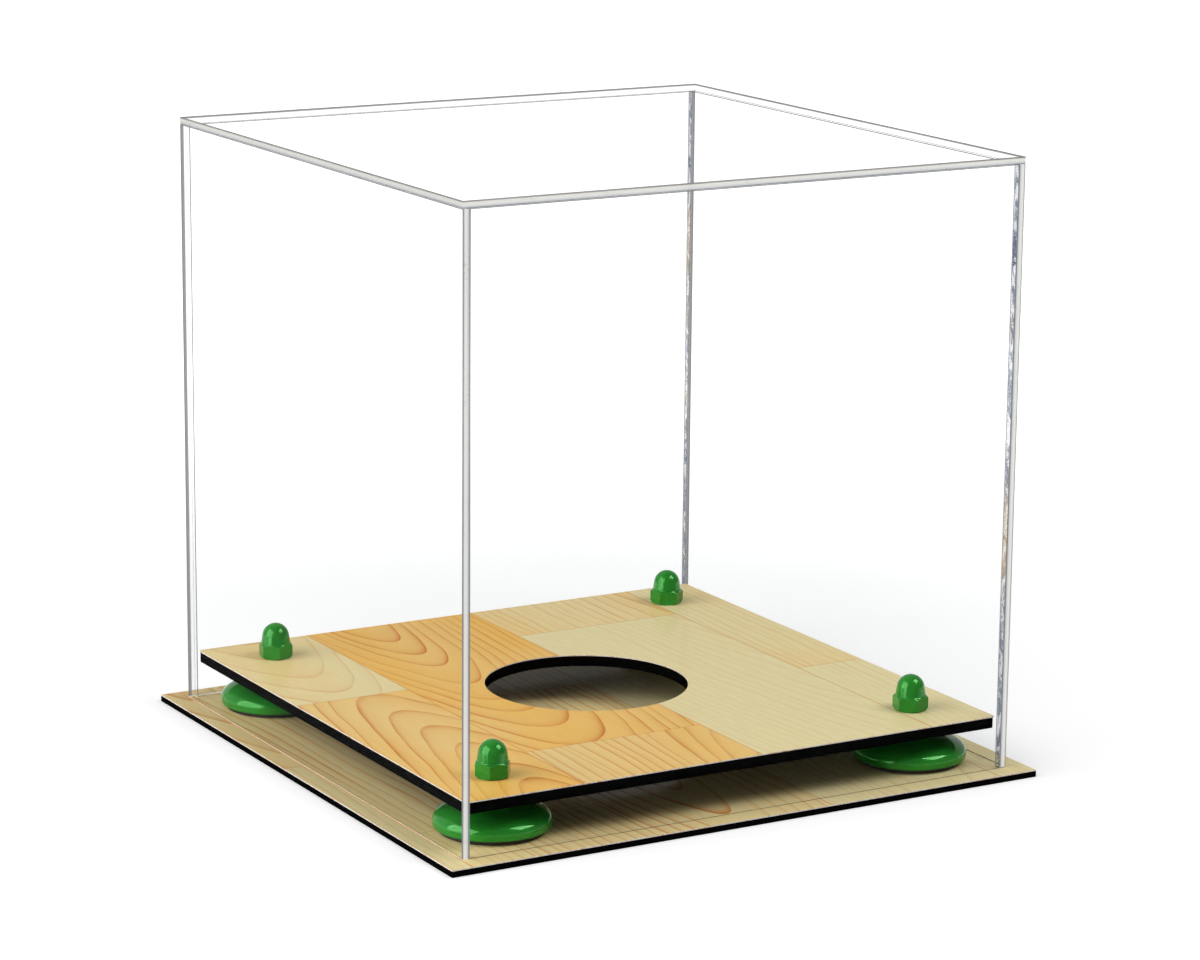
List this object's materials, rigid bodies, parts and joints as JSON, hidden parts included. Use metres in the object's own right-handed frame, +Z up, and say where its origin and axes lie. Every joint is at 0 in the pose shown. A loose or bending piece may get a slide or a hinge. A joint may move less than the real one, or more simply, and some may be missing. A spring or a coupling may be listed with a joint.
{
  "type": "bowling ball display case",
  "caption": "Clear box cover over a wood-look base, with a raised platform on domed risers whose round hole seats a bowling ball.",
  "frame": {"origin": "middle of the base's underside, on the surface that the case stands on", "axes": "+Z up, -Y the front, +X to the right seen from the front"},
  "size_m": [0.272, 0.272, 0.257],
  "materials": {
    "clear_acrylic": "clear polished acrylic sheet",
    "black_acrylic": "gloss faces, fine saw marks on the edges",
    "woodgrain_laminate": "satin to gloss pale plank-floor print with a cream core line at its edge",
    "green_plastic": "high gloss moulded green",
    "black_rubber": "matte",
    "zinc_steel": "plain zinc plated"
  },
  "bodies": {
    "base": {"base_board": "black_acrylic", "base_laminate": "woodgrain_laminate"},
    "stand": {"platform_board": "black_acrylic", "platform_laminate": "woodgrain_laminate", "front_left_pad": "black_rubber", "front_left_foot": "green_plastic", "front_left_stud": "zinc_steel", "front_left_cap_nut": "green_plastic", "front_right_pad": "black_rubber", "front_right_foot": "green_plastic", "front_right_stud": "zinc_steel", "front_right_cap_nut": "green_plastic", "back_left_pad": "black_rubber", "back_left_foot": "green_plastic", "back_left_stud": "zinc_steel", "back_left_cap_nut": "green_plastic", "back_right_pad": "black_rubber", "back_right_foot": "green_plastic", "back_right_stud": "zinc_steel", "back_right_cap_nut": "green_plastic"},
    "cover": {"cover_top_panel": "clear_acrylic", "cover_left_panel": "clear_acrylic", "cover_right_panel": "clear_acrylic", "cover_front_panel": "clear_acrylic", "cover_back_panel": "clear_acrylic"}
  },
  "joints": [
    {"name": "cover_lift", "type": "slide", "parent": "base", "child": "cover", "axis": [0, 0, 1], "range_m": [0, 0.28]},
    {"name": "platform_lift", "type": "slide", "parent": "base", "child": "stand", "axis": [0, 0, 1], "range_m": [0, 0.2]}
  ]
}
